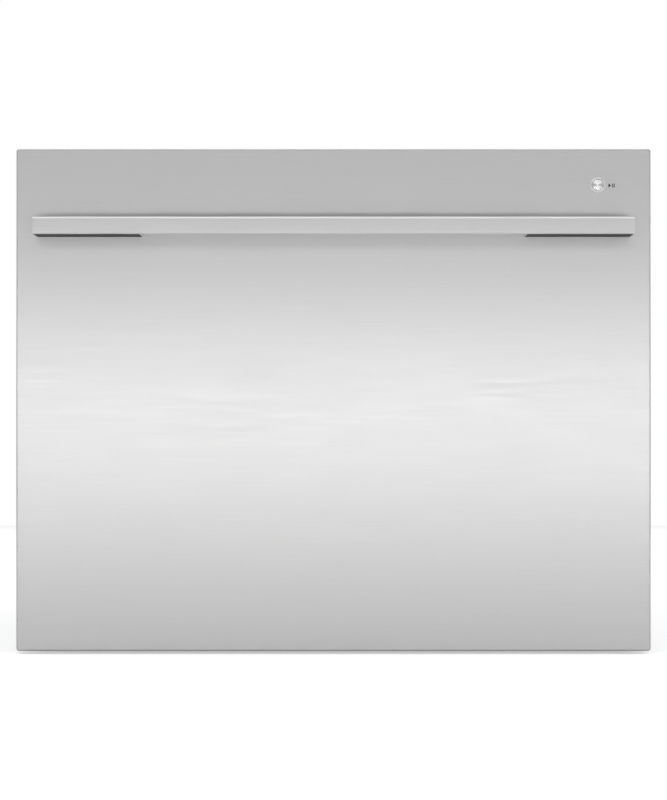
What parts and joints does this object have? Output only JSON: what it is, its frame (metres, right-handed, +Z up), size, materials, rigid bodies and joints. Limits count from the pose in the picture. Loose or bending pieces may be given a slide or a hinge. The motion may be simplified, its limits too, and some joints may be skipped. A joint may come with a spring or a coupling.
{
  "type": "dishwasher drawer",
  "caption": "Drawer dishwasher with a brushed steel front and flat bar handle. The tub slides out with folding racks, spray arm and dispenser, and a lid drops to seal it.",
  "frame": {"origin": "on the floor, under the middle of the closed machine with its handle", "axes": "+X to the right as seen from the front, +Y from the front to the back, +Z up"},
  "size_m": [0.599, 0.617, 0.477],
  "materials": {
    "brushed_steel": "fine horizontal brushed stainless steel",
    "button_metal": "spun stainless steel",
    "zinc_steel": "galvanised sheet steel",
    "runner_steel": "bright zinc plated steel",
    "black_plastic": "moulded black polypropylene",
    "dark_plastic": "moulded dark grey plastic",
    "white_plastic": "moulded white nylon",
    "grey_tub": "moulded light grey polypropylene",
    "grey_lid": "moulded pale grey polypropylene",
    "arm_grey": "moulded mid grey plastic",
    "rack_coating": "steel wire with grey nylon coating",
    "key_plastic": "moulded grey keys",
    "rubber": "moulded rubber"
  },
  "bodies": {
    "cabinet": {"left_side_panel": "zinc_steel", "right_side_panel": "zinc_steel", "rear_panel": "zinc_steel", "top_cover": "zinc_steel", "front_top_rail": "zinc_steel", "base_tray": "black_plastic", "water_inlet_valve": "white_plastic", "drain_outlet": "dark_plastic", "mains_inlet_box": "dark_plastic", "left_runner_outer": "runner_steel", "right_runner_outer": "runner_steel", "lid_actuator_left": "white_plastic", "lid_actuator_right": "white_plastic"},
    "foot_front_left": {"levelling_foot_front_left": "black_plastic"},
    "foot_front_right": {"levelling_foot_front_right": "black_plastic"},
    "foot_rear_left": {"levelling_foot_rear_left": "black_plastic"},
    "foot_rear_right": {"levelling_foot_rear_right": "black_plastic"},
    "drawer": {"front_panel": "brushed_steel", "handle_bar": "brushed_steel", "handle_mount_left": "brushed_steel", "handle_mount_right": "brushed_steel", "start_button_bezel": "button_metal", "door_inner": "grey_tub", "control_strip": "dark_plastic", "tub": "grey_tub", "sump": "arm_grey", "left_runner_inner": "runner_steel", "right_runner_inner": "runner_steel", "motor_housing": "dark_plastic", "filter_plate": "arm_grey", "drain_filter": "arm_grey", "base_rack_left": "rack_coating", "base_rack_right": "rack_coating", "base_rack_front": "rack_coating", "base_rack_back": "rack_coating", "base_rack_floor": "rack_coating", "cutlery_basket": "arm_grey", "detergent_dispenser": "grey_lid"},
    "left_runner": {"left_runner_middle": "runner_steel"},
    "right_runner": {"right_runner_middle": "runner_steel"},
    "lid": {"lid": "grey_lid", "lid_seal": "rubber"},
    "left_pinion": {"lid_pinion_left": "white_plastic"},
    "right_pinion": {"lid_pinion_right": "white_plastic"},
    "rear_link": {"hose_link_rear_arm": "black_plastic"},
    "front_link": {"hose_link_front_arm": "black_plastic"},
    "start_button": {"start_button": "button_metal"},
    "power_button": {"power_button": "key_plastic"},
    "program_button": {"program_button": "key_plastic"},
    "delay_button": {"delay_button": "key_plastic"},
    "fan_rotor": {"drying_fan_rotor": "dark_plastic"},
    "wash_rotor": {"wash_rotor": "white_plastic"},
    "spray_arm": {"spray_arm": "arm_grey"},
    "front_tines": {"tine_row_front": "rack_coating"},
    "middle_tines": {"tine_row_middle": "rack_coating"},
    "rear_tines": {"tine_row_rear": "rack_coating"},
    "left_cup_rack": {"cup_rack_left": "rack_coating"},
    "right_cup_rack": {"cup_rack_right": "rack_coating"},
    "detergent_flap": {"detergent_flap": "grey_lid"},
    "rinse_aid_cap": {"rinse_aid_cap": "arm_grey"}
  },
  "joints": [
    {"name": "drawer_slide", "type": "slide", "parent": "cabinet", "child": "drawer", "axis": [0, -1, 0], "range_m": [0, 0.48]},
    {"name": "left_runner_slide", "type": "slide", "parent": "cabinet", "child": "left_runner", "axis": [0, -1, 0], "range_m": [0, 0.24]},
    {"name": "right_runner_slide", "type": "slide", "parent": "cabinet", "child": "right_runner", "axis": [0, -1, 0], "range_m": [0, 0.24]},
    {"name": "rear_link_swing", "type": "hinge", "parent": "cabinet", "child": "rear_link", "pos_m": [-0.24, 0.291, 0.149], "axis": [0, 0, 1], "range_deg": [-31, 0]},
    {"name": "front_link_swing", "type": "hinge", "parent": "drawer", "child": "front_link", "pos_m": [-0.24, 0.272, 0.169], "axis": [0, 0, 1], "range_deg": [0, 31]},
    {"name": "lid_drop", "type": "slide", "parent": "cabinet", "child": "lid", "axis": [0, 0, -1], "range_m": [0, 0.0114]},
    {"name": "left_pinion_turn", "type": "hinge", "parent": "cabinet", "child": "left_pinion", "pos_m": [-0.2795, 0.009, 0.44], "axis": [1, 0, 0], "range_deg": [0, 73]},
    {"name": "right_pinion_turn", "type": "hinge", "parent": "cabinet", "child": "right_pinion", "pos_m": [0.2795, 0.009, 0.44], "axis": [1, 0, 0], "range_deg": [0, 73]},
    {"name": "foot_front_left_screw", "type": "slide", "parent": "cabinet", "child": "foot_front_left", "axis": [0, 0, -1], "range_m": [0, 0.012]},
    {"name": "foot_front_right_screw", "type": "slide", "parent": "cabinet", "child": "foot_front_right", "axis": [0, 0, -1], "range_m": [0, 0.012]},
    {"name": "foot_rear_left_screw", "type": "slide", "parent": "cabinet", "child": "foot_rear_left", "axis": [0, 0, -1], "range_m": [0, 0.012]},
    {"name": "foot_rear_right_screw", "type": "slide", "parent": "cabinet", "child": "foot_rear_right", "axis": [0, 0, -1], "range_m": [0, 0.012]},
    {"name": "start_button_press", "type": "slide", "parent": "drawer", "child": "start_button", "axis": [0, 1, 0], "range_m": [0, 0.0012], "stiffness_N_per_m": 600, "springref_m": -0.0005},
    {"name": "power_button_press", "type": "slide", "parent": "drawer", "child": "power_button", "axis": [0, 0, -1], "range_m": [0, 0.0008], "stiffness_N_per_m": 600, "springref_m": -0.0005},
    {"name": "program_button_press", "type": "slide", "parent": "drawer", "child": "program_button", "axis": [0, 0, -1], "range_m": [0, 0.0008], "stiffness_N_per_m": 600, "springref_m": -0.0005},
    {"name": "delay_button_press", "type": "slide", "parent": "drawer", "child": "delay_button", "axis": [0, 0, -1], "range_m": [0, 0.0008], "stiffness_N_per_m": 600, "springref_m": -0.0005},
    {"name": "fan_spin", "type": "hinge", "parent": "drawer", "child": "fan_rotor", "pos_m": [-0.215, -0.2536, 0.4], "axis": [0, 1, 0], "continuous": true},
    {"name": "wash_rotor_spin", "type": "hinge", "parent": "drawer", "child": "wash_rotor", "pos_m": [0, 0.012, 0.05], "axis": [0, 0, 1], "continuous": true},
    {"name": "spray_arm_spin", "type": "hinge", "parent": "drawer", "child": "spray_arm", "pos_m": [0, 0.012, 0.105], "axis": [0, 0, 1], "continuous": true},
    {"name": "front_tines_fold", "type": "hinge", "parent": "drawer", "child": "front_tines", "pos_m": [-0.036, -0.15, 0.1292], "axis": [-1, 0, 0], "range_deg": [0, 90]},
    {"name": "middle_tines_fold", "type": "hinge", "parent": "drawer", "child": "middle_tines", "pos_m": [-0.036, -0.03, 0.1292], "axis": [-1, 0, 0], "range_deg": [0, 90]},
    {"name": "rear_tines_fold", "type": "hinge", "parent": "drawer", "child": "rear_tines", "pos_m": [-0.036, 0.09, 0.1292], "axis": [-1, 0, 0], "range_deg": [0, 90]},
    {"name": "left_cup_rack_fold", "type": "hinge", "parent": "drawer", "child": "left_cup_rack", "pos_m": [-0.24, 0.01, 0.262], "axis": [0, -1, 0], "range_deg": [0, 90]},
    {"name": "right_cup_rack_fold", "type": "hinge", "parent": "drawer", "child": "right_cup_rack", "pos_m": [0.24, 0.01, 0.262], "axis": [0, 1, 0], "range_deg": [0, 90]},
    {"name": "detergent_flap_open", "type": "hinge", "parent": "drawer", "child": "detergent_flap", "pos_m": [-0.037, -0.2154, 0.304], "axis": [-1, 0, 0], "range_deg": [0, 110]},
    {"name": "rinse_aid_cap_turn", "type": "hinge", "parent": "drawer", "child": "rinse_aid_cap", "pos_m": [0.036, -0.2124, 0.34], "axis": [0, 1, 0], "range_deg": [0, 90]}
  ],
  "couplings": [
    {"joint": "left_runner_slide", "follows": "drawer_slide", "ratio": 0.5},
    {"joint": "right_runner_slide", "follows": "drawer_slide", "ratio": 0.5},
    {"joint": "rear_link_swing", "follows": "drawer_slide", "rad_per_m": -1.1237},
    {"joint": "front_link_swing", "follows": "drawer_slide", "rad_per_m": 1.1237},
    {"joint": "left_pinion_turn", "follows": "lid_drop", "rad_per_m": 111.11},
    {"joint": "right_pinion_turn", "follows": "lid_drop", "rad_per_m": 111.11}
  ]
}
